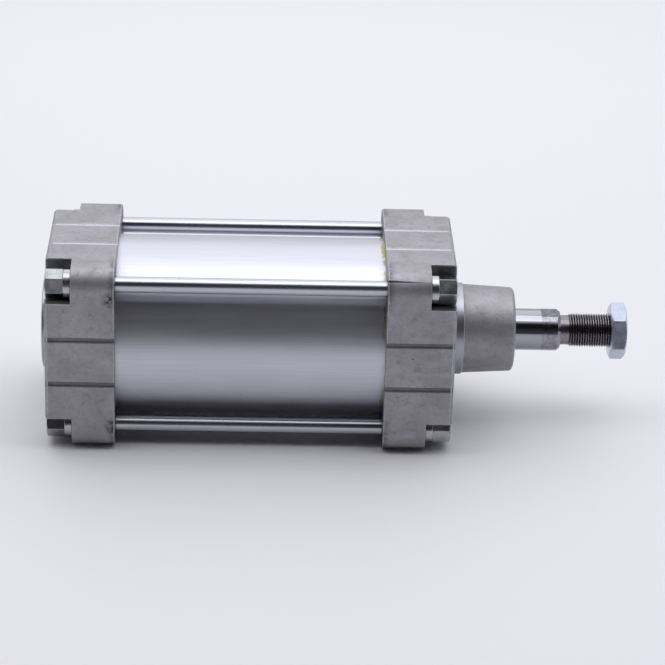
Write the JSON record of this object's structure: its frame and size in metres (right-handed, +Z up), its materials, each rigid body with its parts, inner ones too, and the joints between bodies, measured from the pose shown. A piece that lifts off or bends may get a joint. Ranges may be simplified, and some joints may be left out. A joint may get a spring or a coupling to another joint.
{
  "type": "pneumatic cylinder",
  "caption": "Double-acting air cylinder: square end caps joined by tie rods round a plain barrel, with a chromed piston rod ending in a threaded stud and lock nut.",
  "frame": {"origin": "on the cylinder's axis, in the mounting face of the front cap", "axes": "+X out along the piston rod, +Z up, +Y towards the side with the air ports"},
  "size_m": [0.3473, 0.114, 0.114],
  "materials": {
    "cast_aluminium": "blasted die casting, matt with light mottling",
    "anodised_tube": "satin clear anodised",
    "zinc_steel": "bright zinc plated",
    "zinc_nuts": "bright zinc plated, slightly blue",
    "black_rubber": "smooth nitrile rubber",
    "dark_seal": "smooth polyurethane",
    "bronze": "sintered bronze",
    "brass_screw": "turned",
    "guide_plastic": "filled plastic",
    "chromed_rod": "ground and hard chromed, oily steel at the thread",
    "turned_aluminium": "turned",
    "magnet_plastic": "bonded ferrite",
    "dark_steel": "oiled steel"
  },
  "bodies": {
    "housing": {"rear_cap": "cast_aluminium", "front_cap": "cast_aluminium", "barrel": "anodised_tube", "tie_rod_1": "zinc_steel", "tie_rod_2": "zinc_steel", "tie_rod_3": "zinc_steel", "tie_rod_4": "zinc_steel", "front_tie_nuts": "zinc_nuts", "rear_tie_nuts": "zinc_nuts", "front_washers": "zinc_nuts", "rear_washers": "zinc_nuts", "front_barrel_seal": "black_rubber", "rear_barrel_seal": "black_rubber", "rod_bush": "bronze", "rod_seal": "dark_seal", "front_cushion_seal": "dark_seal", "rear_cushion_seal": "dark_seal"},
    "piston_rings": {"piston_rear_seal": "dark_seal", "piston_front_seal": "dark_seal", "piston_guide_ring": "guide_plastic"},
    "rod": {"piston_rod": "chromed_rod", "piston_rear_half": "turned_aluminium", "piston_front_half": "turned_aluminium", "piston_magnet": "magnet_plastic", "piston_ring": "black_rubber", "rear_cushion_sleeve": "turned_aluminium", "front_cushion_sleeve": "turned_aluminium", "piston_nut": "dark_steel"},
    "lock_nut": {"rod_nut": "zinc_nuts"},
    "front_needle": {"front_cushion_screw": "brass_screw", "front_screw_ring": "black_rubber"},
    "rear_needle": {"rear_cushion_screw": "brass_screw", "rear_screw_ring": "black_rubber"}
  },
  "joints": [
    {"name": "rod_slide", "type": "slide", "parent": "housing", "child": "piston_rings", "axis": [1, 0, 0], "range_m": [-0.0149, 0.0851]},
    {"name": "rod_turn", "type": "hinge", "parent": "piston_rings", "child": "rod", "pos_m": [0, 0, 0], "axis": [1, 0, 0], "continuous": true},
    {"name": "lock_nut_travel", "type": "slide", "parent": "rod", "child": "lock_nut", "axis": [-1, 0, 0], "range_m": [0, 0.0235]},
    {"name": "front_needle_turn", "type": "hinge", "parent": "housing", "child": "front_needle", "pos_m": [-0.024, 0.05, 0.024], "axis": [0, 1, 0], "range_deg": [-360, 720]},
    {"name": "rear_needle_turn", "type": "hinge", "parent": "housing", "child": "rear_needle", "pos_m": [-0.214, 0.05, 0.024], "axis": [0, 1, 0], "range_deg": [-360, 720]}
  ]
}
